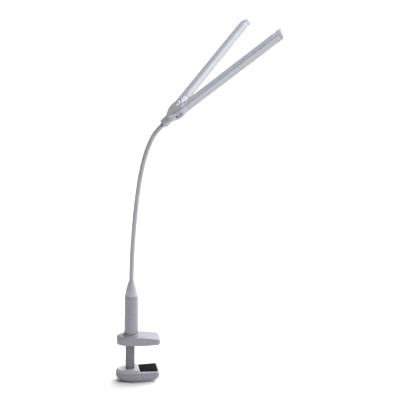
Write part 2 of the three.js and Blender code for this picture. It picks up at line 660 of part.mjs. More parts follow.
function lightBar(group, label) {
  const { r, half, neckHalf, hole } = TONGUE;
  const ramp = new THREE.Shape();
  ramp.moveTo(0, BAR.bottom - 2);
  ramp.lineTo(ROOT.rampEnd, BAR.bottom - 2);
  ramp.lineTo(ROOT.rampEnd, BAR.bottom);
  ramp.lineTo(ROOT.from, -SLOT_HALF);
  ramp.lineTo(0, -SLOT_HALF);
  const rampCut = new THREE.ExtrudeGeometry(ramp, { depth: 60, bevelEnabled: false });
  rampCut.rotateX(Math.PI / 2);
  rampCut.translate(0, 30, 0);
  const root = drawnOut(barSection(BAR.bottom), ROOT.from, ROOT.to)
    .subtract(rod(ROOT.clear, -20, 20, 0, 0, 2 * ROUND))
    .subtract(toSolid(rampCut))
    .add(box(0, ROOT.to - 6, -neckHalf, neckHalf, -half, half))
    .add(rod(r, -half, half, 0, 0, ROUND))
    .subtract(rod(hole, -20, 20));
  group.add(named(`${label}_bar_root`, root, plastic()));

  const bodyFrom = ROOT.to + GAP;
  const housing = drawnOut(barSection(BAR.split + GAP), bodyFrom, BAR_BODY_END)
    .subtract(drawnOut(barSection(BAR.split - 5, BAR_WALL), bodyFrom - 1, BAR_BODY_END + 1));
  group.add(named(`${label}_bar_housing`, housing, plastic()));

  const tray = box(bodyFrom, BAR_BODY_END, -BAR.half, BAR.half, BAR.bottom, BAR.split)
    .subtract(box(bodyFrom + BAR_WALL, BAR_BODY_END - BAR_WALL, BAR_WALL - BAR.half, BAR.half - BAR_WALL,
      BAR.bottom + BAR_WALL, 0));
  group.add(named(`${label}_bar_diffuser`, tray, diffuser()));

  const led = box(LED_BOARD.from, LED_BOARD.to, -LED_BOARD.half, LED_BOARD.half,
    LED_BOARD.bottom, LED_BOARD.bottom + LED_BOARD.thickness);
  group.add(named(`${label}_led_board`, led, board()));

  const cap = drawnOut(barSection(BAR.bottom), BAR_BODY_END + GAP, BAR_END)
    .intersect(rod(END_BULGE_R, -20, 20, BAR_END - END_BULGE_R, 0, 6 * ROUND));
  group.add(named(`${label}_bar_end_cap`, cap, plastic()));
}

function head() {
  const group = new THREE.Group();
  group.position.copy(headCentre);
  group.rotation.y = -HEAD_PITCH;
  hub(group);
  for (const side of [-1, 1]) {
    const bar = new THREE.Group();
    bar.position.set(0, side * PIVOT_Y, 0);
    bar.rotation.z = side * BAR_SPREAD;
    lightBar(bar, side > 0 ? 'left' : 'right');
    group.add(bar);
  }
  return group;
}

// ---------------------------------------------------------------- assembly

const lamp = new THREE.Group();
upperJaw(lamp);
lowerJaw(lamp);
clampPost(lamp);
mast(lamp);
neck(lamp);
lamp.add(head());

export default lamp;
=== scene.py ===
"""Looks for a clamp-on desk lamp with a bending neck and two hinged light bars.

Lengths in the code are in millimetres and become metres when a mesh is made.
"""
import json
import math

import bmesh
import bpy
from mathutils import Matrix, Vector

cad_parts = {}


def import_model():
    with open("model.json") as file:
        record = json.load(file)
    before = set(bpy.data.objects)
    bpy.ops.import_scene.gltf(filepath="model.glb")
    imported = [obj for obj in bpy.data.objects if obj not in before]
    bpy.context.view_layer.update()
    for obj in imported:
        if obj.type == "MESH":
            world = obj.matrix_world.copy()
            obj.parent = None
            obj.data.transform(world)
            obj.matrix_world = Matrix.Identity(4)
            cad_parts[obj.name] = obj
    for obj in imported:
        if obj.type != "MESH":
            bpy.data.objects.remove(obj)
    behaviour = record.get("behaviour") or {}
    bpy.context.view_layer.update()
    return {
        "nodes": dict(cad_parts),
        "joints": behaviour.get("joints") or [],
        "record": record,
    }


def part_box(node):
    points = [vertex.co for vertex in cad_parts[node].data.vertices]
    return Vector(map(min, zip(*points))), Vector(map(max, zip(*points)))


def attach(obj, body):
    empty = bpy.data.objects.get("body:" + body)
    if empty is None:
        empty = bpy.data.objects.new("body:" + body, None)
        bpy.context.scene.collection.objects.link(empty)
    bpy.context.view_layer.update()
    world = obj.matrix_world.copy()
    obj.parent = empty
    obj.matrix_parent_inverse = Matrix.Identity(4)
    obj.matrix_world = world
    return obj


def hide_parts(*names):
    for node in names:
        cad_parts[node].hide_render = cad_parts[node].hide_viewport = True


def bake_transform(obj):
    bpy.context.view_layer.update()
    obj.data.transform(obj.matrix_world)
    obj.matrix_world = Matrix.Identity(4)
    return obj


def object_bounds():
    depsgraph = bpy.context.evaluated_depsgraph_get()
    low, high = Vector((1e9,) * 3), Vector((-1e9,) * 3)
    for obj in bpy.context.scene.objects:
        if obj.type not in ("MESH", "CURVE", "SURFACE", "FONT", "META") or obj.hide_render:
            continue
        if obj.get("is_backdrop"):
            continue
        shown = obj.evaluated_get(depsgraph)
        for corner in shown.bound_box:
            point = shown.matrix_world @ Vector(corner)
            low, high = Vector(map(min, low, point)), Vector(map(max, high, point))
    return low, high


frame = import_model()
NODES = frame["nodes"]

MM = 0.001
GAP = 0.3

# Jaws
UPPER_JAW_X = (-68.3, 23.3)
LOWER_JAW_X = (-70.4, 22.4)
UPPER_HALF_WIDTH = 20.0
LOWER_HALF_WIDTH = 21.4
JAW_WALL = 2.2
PAD_GAP = 58.4
DECK_TOP = -58.9
DECK_BOTTOM = -62.0
PLATEAU_TOP = -56.4
PLATEAU_END_X = -23.5

# Post and mast
POST_X = -39.7
POST_LENGTH_X = 19.4
POST_DEPTH_Y = 10.0
POST_BOTTOM = -73.0
POST_SHOULDER = 15.2
CROSS_PIN_Z = -14.5
FOOT_PIN_Z = -68.0
PIN_R = 1.5
PIN_CLEARANCE = 0.25
MAST_X = -37.4
MAST_R = 14.1
MAST_FOOT_R = 14.8
MAST_NECK_R = 13.3
MAST_BORE_R = 12.3
MAST_FOOT = 15.0
MAST_BOTTOM = 26.5
MAST_TOP = 108.5
COLLAR_TOP = 24.75
CONE_TOP = 140.1
JACK_Z = 90.0
JACK_R = 3.9
RETAINER_TOP = 16.9
RETAINER_R = 14.9

# Neck
NECK_R = 4.7
NECK_START = 104.0
SLEEVE_SIDES = 40

# Head
HEAD = (52.8, 0.0, 495.2)
HEAD_PITCH = math.radians(44.4)
BAR_SPREAD = math.radians(26.2)
PIVOT_Y = 20.4
LOBE_R = 17.0
HUB_TOP = 9.2
HUB_BOTTOM = -8.4
SOCKET_R = 9.3
SOCKET_FROM = -41.2
SOCKET_FLOOR = -25.0
SLOT_HALF = 3.3
SLOT_LIP = 2.4
SLOT_R = 14.5
SLOT_BACK = -12.5
DISC_R = 14.2
DISC_HALF = 3.0
LUG_R = 16.6
LUG_HALF = 2.05
WASHER_SPACE_R = 9.4
WASHER_SPACE_Z = 2.1
PIVOT_HOLE_R = 3.3
PIVOT_HEAD_R = 4.9
SCREW_X = -17.5
SCREW_Y = 11
SCREW_HOLE_R = 3.0

# Light bars
BAR_HALF = 16.0
BAR_BOTTOM = -5.5
BAR_SIDE = 5.2
BAR_CROWN = 7.8
BAR_SPLIT = -1.9
ROOT_FROM = 8.0
ROOT_TO = 27.0
ROOT_CLEAR = 18.3
BODY_END = 248.0
BAR_END = 257.5
END_BULGE_R = 75.0


# ------------------------------------------------------------------ meshes

def make(name, verts, faces, matrix=None, sharp=32.0):
    """A mesh object from points in millimetres, smooth but for edges steeper than sharp degrees."""
    mesh = bpy.data.meshes.new(name)
    mesh.from_pydata([Vector(v) * MM for v in verts], [], faces)
    bm = bmesh.new()
    bm.from_mesh(mesh)
    bmesh.ops.remove_doubles(bm, verts=bm.verts, dist=1e-6)
    bmesh.ops.recalc_face_normals(bm, faces=bm.faces)
    if matrix is not None:
        bm.transform(matrix)
    bm.to_mesh(mesh)
    bm.free()
    obj = bpy.data.objects.new(name, mesh)
    bpy.context.scene.collection.objects.link(obj)
    shade(obj, sharp)
    return obj


def shade(obj, sharp=32.0):
    mesh = obj.data
    mesh.polygons.foreach_set("use_smooth", [True] * len(mesh.polygons))
    mesh.set_sharp_from_angle(angle=math.radians(sharp))
    mesh.update()


def apply_modifiers(obj):
    graph = bpy.context.evaluated_depsgraph_get()
    mesh = bpy.data.meshes.new_from_object(obj.evaluated_get(graph))
    obj.modifiers.clear()
    old = obj.data
    obj.data = mesh
    bpy.data.meshes.remove(old)


def boolean(obj, other, operation="DIFFERENCE"):
    """Combines other into obj, and removes other."""
    modifier = obj.modifiers.new("cut", "BOOLEAN")
    modifier.operation = operation
    modifier.solver = "EXACT"
    modifier.object = other
    apply_modifiers(obj)
    bpy.data.objects.remove(other)
    return obj


def skin(rings, closed=True):
    """Quads between successive rings of equal length, as (verts, faces) with rings left open at both ends."""
    count = len(rings[0])
    verts = [p for ring in rings for p in ring]
    faces = []
    for r in range(len(rings) - 1):
        for k in range(count if closed else count - 1):
            n = (k + 1) % count
            faces.append((r * count + k, r * count + n, (r + 1) * count + n, (r + 1) * count + k))
    return verts, faces


def lathe(name, profile, centre=(0, 0, 0), segments=96, matrix=None, sharp=32.0):
    """A closed profile of [radius, height] turned about the vertical through centre."""
    rings = []
    for i in range(segments):
        a = 2 * math.pi * i / segments
        rings.append([(centre[0] + r * math.cos(a), centre[1] + r * math.sin(a), centre[2] + z)
                      for r, z in profile])
    count = len(profile)
    verts = [p for ring in rings for p in ring]
    faces = []
    for i in range(segments):
        j = (i + 1) % segments
        for k in range(count):
            n = (k + 1) % count
            if profile[k][0] or profile[n][0]:
                faces.append((i * count + k, j * count + k, j * count + n, i * count + n))
    return make(name, verts, faces, matrix, sharp)


def rod(name, r, z0, z1, x=0.0, y=0.0, segments=48, matrix=None):
    ring = [(x + r * math.cos(2 * math.pi * i / segments), y + r * math.sin(2 * math.pi * i / segments))
            for i in range(segments)]
    return prism(name, ring, z0, z1, matrix)


def prism(name, outline, z0, z1, matrix=None):
    count = len(outline)
    verts, faces = skin([[(x, y, z0) for x, y in outline], [(x, y, z1) for x, y in outline]])
    faces += [tuple(range(count)), tuple(range(count, 2 * count))]
    return make(name, verts, faces, matrix)


def box(name, x0, x1, y0, y1, z0, z1, matrix=None):
    return prism(name, [(x0, y0), (x1, y0), (x1, y1), (x0, y1)], z0, z1, matrix)


def bezier(points, steps):
    degree = len(points) - 1
    out = []
    for s in range(steps + 1):
        t = s / steps
        p = Vector((0.0, 0.0))
        for k, q in enumerate(points):
            p += Vector(q) * (math.comb(degree, k) * (1 - t) ** (degree - k) * t ** k)
        out.append(p)
    return out


def middle_point(x, span, half_width):
    """The point of a jaw's middle line that a point of its outline closes in towards."""
    return Vector((min(max(x, span[0] + 0.75 * half_width), span[1] - 0.8 * half_width), 0))


def jaw_outline(span, half_width, inset=0.0, count=160):
    """A jaw's closed plan outline, evenly spaced, moved inwards by inset."""
    tip, end = span
    half = bezier([(tip, 0), (tip, 8), (tip + 7, 14.5), (tip + 22, 0.82 * half_width)], 40)
    half += bezier([(tip + 22, 0.82 * half_width), (tip + 38, 0.98 * half_width),
                    (end - 40, half_width), (end - 9, half_width)], 40)[1:]
    half += bezier([(end - 9, half_width), (end - 1, half_width), (end - 0.6, half_width - 8.5)], 30)[1:]
    half += bezier([(end - 0.6, half_width - 8.5), (end, 6), (end, 0)], 20)[1:]
    loop = half + [Vector((p.x, -p.y)) for p in reversed(half[1:-1])]
    lengths = [0.0]
    for a, b in zip(loop, loop[1:] + loop[:1]):
        lengths.append(lengths[-1] + (b - a).length)
    even, k = [], 0
    for i in range(count):
        want = lengths[-1] * i / count
        while lengths[k + 1] < want:
            k += 1
        share = (want - lengths[k]) / (lengths[k + 1] - lengths[k])
        even.append(loop[k].lerp(loop[(k + 1) % len(loop)], share))
    for _ in range(3):
        even = [(even[i - 1] + even[i] * 2 + even[(i + 1) % count]) / 4 for i in range(count)]
    if inset:
        moved = []
        for i, p in enumerate(even):
            along = (even[(i + 1) % count] - even[i - 1]).normalized()
            inwards = middle_point(p.x, span, half_width) - p
            moved.append(p + inwards * (inset / inwards.dot(Vector((along.y, -along.x)))))
        even = moved
    return even


def jaw_body(name, span, half_width, rings, under, top, inset=0.0, fill=8, sharp=32.0):
    """A closed jaw-shaped body. rings run from the underside up as (inset, level)."""
    def ring_at(extra, level):
        return [(p.x, p.y, under(p.x) + (top(p.x) - under(p.x)) * level)
                for p in jaw_outline(span, half_width, inset + extra)]

    def filled(last, height):
        """Rings that close a face in towards the jaw's middle line."""
        out = []
        for s in range(1, fill + 1):
            t = s / fill
            row = []
            for x, y, _ in last:
                mid = middle_point(x, span, half_width).x
                px, py = x + (mid - x) * t, y * (1 - t)
                row.append((px, py, height(px)))
            out.append(row)
        return out

    all_rings = [ring_at(*ring) for ring in rings]
    bottom = filled(all_rings[0], under if rings[0][1] == 0 else (lambda x: all_rings[0][0][2]))
    cap = filled(all_rings[-1], top)
    rows = list(reversed(bottom)) + all_rings + cap
    verts, faces = skin(rows)
    return make(name, verts, faces, None, sharp)


def fillet(reach, start, steps=8, power=1.0):
    """(inset, level) rings that turn a wall into a top face over reach, from level start to level 1."""
    rings = []
    for s in range(steps + 1):
        a = 0.5 * math.pi * s / steps
        rings.append((reach * (1 - math.cos(a) ** power), start + (1 - start) * math.sin(a) ** power))
    return rings


def fillet_under(reach, end, steps=8):
    """(inset, level) rings that turn an underside into a wall, from level 0 to level end."""
    rings = []
    for s in range(steps + 1):
        a = 0.5 * math.pi * s / steps
        rings.append((reach * (1 - math.sin(a)), end * (1 - math.cos(a))))
    return rings


def stadium(cx, length, depth, steps=20):
    r = depth / 2
    reach = length / 2 - r
    out = []
    for sign, start in ((1, -0.5 * math.pi), (-1, 0.5 * math.pi)):
        for s in range(steps + 1):
            a = start + math.pi * s / steps
            out.append((cx + sign * reach + r * math.cos(a), r * math.sin(a)))
    return out


def rounded_pad(x0, x1, half0, half1, r=3.5, steps=8):
    def corner(a, b, c):
        return [tuple(p) for p in bezier([a, b, c], steps)]
    return (corner((x1 - r, -half1), (x1, -half1), (x1, -half1 + r))
            + corner((x1, half1 - r), (x1, half1), (x1 - r, half1))
            + corner((x0 + r, half0), (x0, half0), (x0, half0 - r))
            + corner((x0, -half0 + r), (x0, -half0), (x0 + r, -half0)))


def rounded_slab(name, outline, z0, z1, r=0.5, steps=3, matrix=None):
    """A plan outline drawn up from z0 to z1 with rounded upper and lower edges."""
    count = len(outline)
    points = [Vector(p) for p in outline]
    normals = []
    for i in range(count):
        along = points[(i + 1) % count] - points[i - 1]
        normals.append(Vector((along.y, -along.x)).normalized())
    area = sum(a.x * b.y - b.x * a.y for a, b in zip(points, points[1:] + points[:1]))
    sign = -1 if area > 0 else 1
    rows = []
    for s in range(steps + 1):
        a = 0.5 * math.pi * s / steps
        rows.append((r * (1 - math.sin(a)), z0 + r * (1 - math.cos(a))))
    for s in range(steps + 1):
        a = 0.5 * math.pi * s / steps
        rows.append((r * (1 - math.cos(a)), z1 - r * (1 - math.sin(a))))
    rings = [[(p.x + sign * n.x * inset, p.y + sign * n.y * inset, z) for p, n in zip(points, normals)]
             for inset, z in rows]
    verts, faces = skin(rings)
    total = len(verts)
    faces += [tuple(range(count)), tuple(range(total - count, total))]
    return make(name, verts, faces, matrix)


# ------------------------------------------------------------------ materials

class Nodes:
    """Short names for building one node material."""

    def __init__(self, name):
        self.material = bpy.data.materials.new(name)
        self.material.use_nodes = True
        self.tree = self.material.node_tree
        self.tree.nodes.clear()
        self.out = self.add("ShaderNodeOutputMaterial")
        self.shader = self.add("ShaderNodeBsdfPrincipled")
        self.link(self.shader, "BSDF", self.out, "Surface")
        self.coords = self.add("ShaderNodeTexCoord")

    def add(self, kind, **settings):
        node = self.tree.nodes.new(kind)
        for key, value in settings.items():
            setattr(node, key, value)
        return node

    def link(self, a, out, b, into):
        self.tree.links.new(a.outputs[out], b.inputs[into])

    def scaled(self, scale, source="Object"):
        node = self.add("ShaderNodeMapping")
        node.inputs["Scale"].default_value = scale if hasattr(scale, "__len__") else (scale,) * 3
        self.link(self.coords, source, node, "Vector")
        return node

    def noise(self, scale, detail=3.0, rough=0.5, stretch=(1, 1, 1), source="Object"):
        """Noise with features of about 1/scale metres."""
        place = self.scaled(stretch, source)
        node = self.add("ShaderNodeTexNoise")
        node.inputs["Scale"].default_value = scale
        node.inputs["Detail"].default_value = detail
        node.inputs["Roughness"].default_value = rough
        self.link(place, "Vector", node, "Vector")
        return node

    def ramp(self, source, out, stops):
        node = self.add("ShaderNodeValToRGB")
        band = node.color_ramp
        while len(band.elements) < len(stops):
            band.elements.new(0.5)
        for element, (at, colour) in zip(band.elements, stops):
            element.position = at
            element.color = (*colour, 1) if hasattr(colour, "__len__") else (colour, colour, colour, 1)
        self.link(source, out, node, "Fac")
        return node

    def span(self, source, out, low, high, start=0.3, end=0.7):
        node = self.add("ShaderNodeMapRange")
        node.inputs["From Min"].default_value = start
        node.inputs["From Max"].default_value = end
        node.inputs["To Min"].default_value = low
        node.inputs["To Max"].default_value = high
        self.link(source, out, node, "Value")
        return node

    def bump(self, source, out, distance, strength=1.0, under=None):
        node = self.add("ShaderNodeBump")
        node.inputs["Distance"].default_value = distance
        node.inputs["Strength"].default_value = strength
        self.link(source, out, node, "Height")
        if under is not None:
            self.link(under, "Normal", node, "Normal")
        self.link(node, "Normal", self.shader, "Normal")
        return node

    def set(self, **values):
        for key, value in values.items():
            self.shader.inputs[key.replace("_", " ")].default_value = value
        return self


def tint(colour, share):
    return tuple(min(1.0, c * share) for c in colour)


def moulded(name, colour, gloss=(0.22, 0.3), coat=0.2, spread=0.03, specular=0.5):
    """Glossy moulded plastic: flow marks, dust specks, uneven gloss, orange peel and hairline scuffs."""
    m = Nodes(name)
    flow = m.noise(38, 4, 0.55, stretch=(1, 1, 0.45))
    tone = m.ramp(flow, "Fac", [(0.25, tint(colour, 1 - spread)), (0.5, colour),
                                (0.78, tint(colour, 1 + spread))])
    dust = m.noise(900, 2, 0.6)
    speck = m.ramp(dust, "Fac", [(0.0, 0.93), (0.34, 1.0)])
    mixed = m.add("ShaderNodeMix", data_type="RGBA", blend_type="MULTIPLY")
    mixed.inputs[0].default_value = 0.5
    m.tree.links.new(tone.outputs["Color"], mixed.inputs[6])
    m.tree.links.new(speck.outputs["Color"], mixed.inputs[7])
    m.tree.links.new(mixed.outputs[2], m.shader.inputs["Base Color"])
    wear = m.noise(70, 5, 0.62)
    scuff = m.noise(260, 3, 0.5, stretch=(1, 3, 0.6))
    both = m.add("ShaderNodeMath", operation="MULTIPLY")
    m.link(wear, "Fac", both, 0)
    m.link(scuff, "Fac", both, 1)
    gloss_map = m.span(both, "Value", gloss[0], gloss[1], 0.12, 0.42)
    m.link(gloss_map, "Result", m.shader, "Roughness")
    peel = m.noise(520, 2, 0.5)
    fine = m.noise(2600, 2, 0.5)
    first = m.bump(peel, "Fac", 0.00012, 0.14)
    m.bump(fine, "Fac", 0.00003, 0.18, under=first)
    m.set(Coat_Weight=coat, Coat_Roughness=0.12, IOR=1.5, Specular_IOR_Level=specular)
    return m.material


def sleeve_material():
    """Satin sleeve over a wound steel core: the turns show through as faint rings."""
    m = Nodes("sleeve")
    colour = (0.315, 0.32, 0.34)
    flow = m.noise(60, 4, 0.6)
    tone = m.ramp(flow, "Fac", [(0.2, tint(colour, 0.93)), (0.8, tint(colour, 1.06))])
    m.link(tone, "Color", m.shader, "Base Color")
    place = m.scaled((1, 1, 1), "UV")
    turns = m.add("ShaderNodeTexWave", wave_type="BANDS", bands_direction="Y", wave_profile="SIN")
    turns.inputs["Scale"].default_value = 0.16
    turns.inputs["Distortion"].default_value = 0.0
    m.link(place, "Vector", turns, "Vector")
    first = m.bump(turns, "Fac", 0.0002, 0.22)
    grain = m.noise(1400, 3, 0.6)
    m.bump(grain, "Fac", 0.00005, 0.3, under=first)
    gloss = m.span(m.noise(45, 4, 0.6), "Fac", 0.34, 0.5)
    m.link(gloss, "Result", m.shader, "Roughness")
    m.set(IOR=1.45)
    return m.material


def rubber_material():
    """Matt black rubber with a pebbled grain, a little dusty."""
    m = Nodes("rubber")
    cells = m.add("ShaderNodeTexVoronoi", feature="SMOOTH_F1")
    cells.inputs["Scale"].default_value = 900
    m.link(m.scaled(1.0), "Vector", cells, "Vector")
    first = m.bump(cells, "Distance", 0.00025, 0.45)
    m.bump(m.noise(2200, 3, 0.6), "Fac", 0.00006, 0.35, under=first)
    dust = m.noise(110, 5, 0.65)
    tone = m.ramp(dust, "Fac", [(0.3, (0.006, 0.0055, 0.006)), (0.62, (0.009, 0.0085, 0.009)),
                                (0.85, (0.018, 0.017, 0.017))])
    m.link(tone, "Color", m.shader, "Base Color")
    gloss = m.span(dust, "Fac", 0.55, 0.78)
    m.link(gloss, "Result", m.shader, "Roughness")
    m.set(IOR=1.5, Specular_IOR_Level=0.03)
    return m.material


def diffuser_material():
    """Milky diffuser with a fine frosted surface."""
    m = Nodes("diffuser")
    cloud = m.noise(50, 3, 0.5)
    tone = m.ramp(cloud, "Fac", [(0.3, (0.50, 0.485, 0.455)), (0.7, (0.54, 0.527, 0.50))])
    m.link(tone, "Color", m.shader, "Base Color")
    frost = m.noise(1800, 3, 0.6)
    m.bump(frost, "Fac", 0.00006, 0.35)
    gloss = m.span(m.noise(90, 4, 0.6), "Fac", 0.36, 0.5)
    m.link(gloss, "Result", m.shader, "Roughness")
    m.set(Specular_IOR_Level=0.3, Subsurface_Weight=0.08, Subsurface_Radius=(0.004, 0.0035, 0.003),
          Subsurface_Scale=1.0, IOR=1.49)
    return m.material


def metal_material(name, colour, rough=(0.24, 0.42), grain=(1, 1, 14)):
    m = Nodes(name)
    lines = m.noise(420, 4, 0.6, stretch=grain)
    tone = m.ramp(lines, "Fac", [(0.3, tint(colour, 0.82)), (0.7, tint(colour, 1.08))])
    m.link(tone, "Color", m.shader, "Base Color")
    gloss = m.span(lines, "Fac", rough[0], rough[1])
    m.link(gloss, "Result", m.shader, "Roughness")
    m.bump(lines, "Fac", 0.00004, 0.3)
    m.set(Metallic=1.0)
    return m.material


def matt_material(name, colour, rough=(0.5, 0.65), grain=1500):
    m = Nodes(name)
    flow = m.noise(90, 4, 0.6)
    tone = m.ramp(flow, "Fac", [(0.25, tint(colour, 0.9)), (0.75, tint(colour, 1.07))])
    m.link(tone, "Color", m.shader, "Base Color")
    gloss = m.span(m.noise(200, 3, 0.5), "Fac", rough[0], rough[1])
    m.link(gloss, "Result", m.shader, "Roughness")
    m.bump(m.noise(grain, 3, 0.55), "Fac", 0.00006, 0.35)
    return m.material


MATERIALS = {
    # abs, post_plastic and the lighter white below are copies of one white plastic; abs is darkened as
    # painted shade on the clamp and the mast.
    "abs": moulded("glossy_white_painted_shade", (0.245, 0.242, 0.28), coat=0.12, specular=0.4),
    # post_plastic is darker still: painted shade of the upper jaw on the post.
    "post_plastic": moulded("post_white_painted_shade", (0.155, 0.152, 0.18), gloss=(0.34, 0.44), coat=0.05,
                            specular=0.3),
    "bar_plastic": moulded("bar_white", (0.46, 0.476, 0.528), gloss=(0.26, 0.34), coat=0.1,
                           specular=0.35),
    "neck_sleeve": sleeve_material(),
    "rubber": rubber_material(),
    "steel": metal_material("steel", (0.56, 0.56, 0.58)),
    "nylon": matt_material("nylon", (0.72, 0.70, 0.63)),
    "dark_plastic": matt_material("dark_moulding", (0.016, 0.016, 0.018)),
    "brass": metal_material("brass", (0.62, 0.46, 0.18)),
    "board": matt_material("board_mask", (0.74, 0.74, 0.69), rough=(0.3, 0.42)),
    "diffuser": diffuser_material(),
}

# A lighter copy of the same white plastic: painted light on the hub, the cone and the lower jaw's deck and
# block.
PAINTED_LIGHT_WHITE = moulded("white_painted_light", (0.37, 0.368, 0.405), coat=0.15, specular=0.45)
# A darker copy of the bar plastic: painted shade on the bars' outward end faces.
SHADED_CAP_FACE = moulded("bar_end_painted_shade", (0.13, 0.133, 0.15), coat=0.0, specular=0.1)
# A darker, rougher copy of the steel: painted shade on the cross pin under the upper jaw.
SHADED_PIN_STEEL = metal_material("pin_end_painted_shade", (0.30, 0.30, 0.32), rough=(0.5, 0.62))

for part in frame["record"]["subparts"]:
    node = NODES[part["node"]]
    node.data.materials.clear()
    node.data.materials.append(MATERIALS[part["material_slot"]])


def finish_piece(obj, slot, body, *nodes, material=None):
    """Gives a rigid piece its finish, its CAD body, and the CAD nodes that it stands for."""
    obj.data.materials.clear()
    obj.data.materials.append(material or MATERIALS[slot])
    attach(obj, body)
    if nodes:
        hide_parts(*nodes)
    return obj


# ------------------------------------------------------------------ jaws

def upper_jaw_top(x):
    return 20.6 - 0.0016 * (x + 45) ** 2


def upper_jaw_under(x):
    return 0.8 + 0.0005 * (x + 12) ** 2


def lower_jaw_under(x):
    return -83.2 + 0.003 * (x + 24) ** 2


def upper_jaw():
    wall = [(1.0, 0.0), (0.35, 0.02), (0.05, 0.06), (0.0, 0.12), (0.0, 0.3)]
    shell = jaw_body("upper_jaw_shell", UPPER_JAW_X, UPPER_HALF_WIDTH,
                     wall + fillet(6.2, 0.73, 12, 0.7), upper_jaw_under, upper_jaw_top)
    cavity = jaw_body("cavity", UPPER_JAW_X, UPPER_HALF_WIDTH,
                      [(JAW_WALL, 0.0), (JAW_WALL, 0.72), (4.2, 0.9), (7.4, 1.0)],
                      lambda x: -10.0, lambda x: upper_jaw_top(x) - 2.4)
    boolean(shell, cavity)
    bore, ring_space = MAST_NECK_R + GAP, RETAINER_R + GAP
    boolean(shell, lathe("bore", [(0, -15), (ring_space, -15), (ring_space, RETAINER_TOP + GAP),
                                  (bore, RETAINER_TOP + GAP), (bore, 40), (0, 40)], (MAST_X, 0, 0)))
    shade(shell, 28)
    finish_piece(shell, "abs", "upper_jaw", "upper_jaw_housing")

    collar = lathe("upper_jaw_collar",
                   [(bore, 17.5), (ring_space + 0.1, 17.5), (ring_space + 0.4, 14), (17.6, 14), (18.2, 16),
                    (18.1, 18), (17.85, 20), (17.5, 21.4), (17.1, 22.6), (16.85, 23.3), (16.7, 23.9),
                    (16.45, 24.4), (16.0, 24.7), (15.6, COLLAR_TOP), (bore, COLLAR_TOP)],
                   (MAST_X, 0, 0), 128)
    finish_piece(collar, "abs", "upper_jaw")

    pad = rounded_slab("upper_jaw_grip_pad", rounded_pad(-18, 18, 14, 14), 0, 2.6, 0.5)
    finish_piece(pad, "rubber", "upper_jaw", "upper_jaw_pad")


def lower_jaw():
    bowl = jaw_body("lower_jaw_shell", LOWER_JAW_X, LOWER_HALF_WIDTH,
                    fillet_under(8.0, 0.5, 12) + [(0.0, 0.7), (0.0, 0.94), (0.12, 0.98), (0.4, 1.0)],
                    lower_jaw_under, lambda x: DECK_BOTTOM - GAP)
    for screw in ("lower_jaw_rear_screw", "lower_jaw_front_screw"):
        low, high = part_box(screw)
        middle = (low + high) / 2 / MM
        boolean(bowl, rod("hole", 3.0, -95, low.z / MM + 2.1, middle.x, middle.y, 40))
        boolean(bowl, rod("hole", 1.7, -95, DECK_BOTTOM - 1, middle.x, middle.y, 24))
    shade(bowl, 30)
    finish_piece(bowl, "abs", "lower_jaw", "lower_jaw_bowl")

    deck = jaw_body("lower_jaw_plate", LOWER_JAW_X, LOWER_HALF_WIDTH,
                    [(0.4, 0.0), (0.12, 0.05), (0.0, 0.12)] + fillet(2.2, 0.25, 6),
                    lambda x: DECK_BOTTOM, lambda x: DECK_TOP)
    plateau = jaw_body("lower_jaw_block", LOWER_JAW_X, LOWER_HALF_WIDTH,
                       [(0.0, 0.0)] + fillet(1.4, 0.6, 5), lambda x: DECK_BOTTOM + 1,
                       lambda x: PLATEAU_TOP, inset=3.2)
    boolean(plateau, box("keep", -90, PLATEAU_END_X, -30, 30, -70, -40), "INTERSECT")
    groove = jaw_body("groove", LOWER_JAW_X, LOWER_HALF_WIDTH, [(0, 0), (0, 1)],
                      lambda x: DECK_TOP - 0.6, lambda x: DECK_TOP + 4, inset=2.6)
    boolean(groove, box("keep", -90, PLATEAU_END_X + 0.6, -30, 30, -70, -40), "INTERSECT")
    boolean(deck, groove)
    boolean(deck, prism("pad_space", rounded_pad(-20.3, 17.7, 17.5, 19.8), -61.3, -50))
    shade(deck, 30)
    shade(plateau, 30)
    # The deck and block get the lighter white: painted light where the upper jaw shades them.
    finish_piece(deck, "abs", "lower_jaw", "lower_jaw_deck", material=PAINTED_LIGHT_WHITE)
    finish_piece(plateau, "abs", "lower_jaw", material=PAINTED_LIGHT_WHITE)

    pad = rounded_slab("lower_jaw_grip_pad", rounded_pad(-20, 17.4, 17.2, 19.5), -61, -PAD_GAP, 0.6)
    finish_piece(pad, "rubber", "lower_jaw", "lower_jaw_pad")

    post = rounded_slab("clamp_post_body", stadium(POST_X, POST_LENGTH_X, POST_DEPTH_Y),
                        POST_BOTTOM, POST_SHOULDER - GAP, 0.5)
    tenon = prism("tenon", stadium(POST_X, 14, 7), POST_SHOULDER - 1, 23)
    boolean(post, tenon, "UNION")
    along_y = Matrix.Translation(Vector((POST_X, 0, CROSS_PIN_Z)) * MM) @ Matrix.Rotation(math.pi / 2, 4, "X")
    boolean(post, rod("pin_hole", PIN_R + PIN_CLEARANCE, -20, 20, segments=32, matrix=along_y))
    foot = Matrix.Translation(Vector((POST_X, 0, FOOT_PIN_Z)) * MM) @ Matrix.Rotation(math.pi / 2, 4, "X")
    boolean(post, rod("pin_hole", PIN_R + PIN_CLEARANCE, -20, 20, segments=32, matrix=foot))
    shade(post, 30)
    # The post's darker plastic is painted shade from the upper jaw.
    finish_piece(post, "post_plastic", "lower_jaw", "clamp_post")

    circle = [(PIN_R * math.cos(2 * math.pi * i / 32), PIN_R * math.sin(2 * math.pi * i / 32))
              for i in range(32)]
    pin = rounded_slab("post_pin", circle, -POST_DEPTH_Y / 2 + 0.1, POST_DEPTH_Y / 2 - 0.1, 0.3,
                       matrix=along_y)
    # The pin's darker steel is painted shade.
    finish_piece(pin, "steel", "lower_jaw", "post_cross_pin", material=SHADED_PIN_STEEL)


# ------------------------------------------------------------------ mast

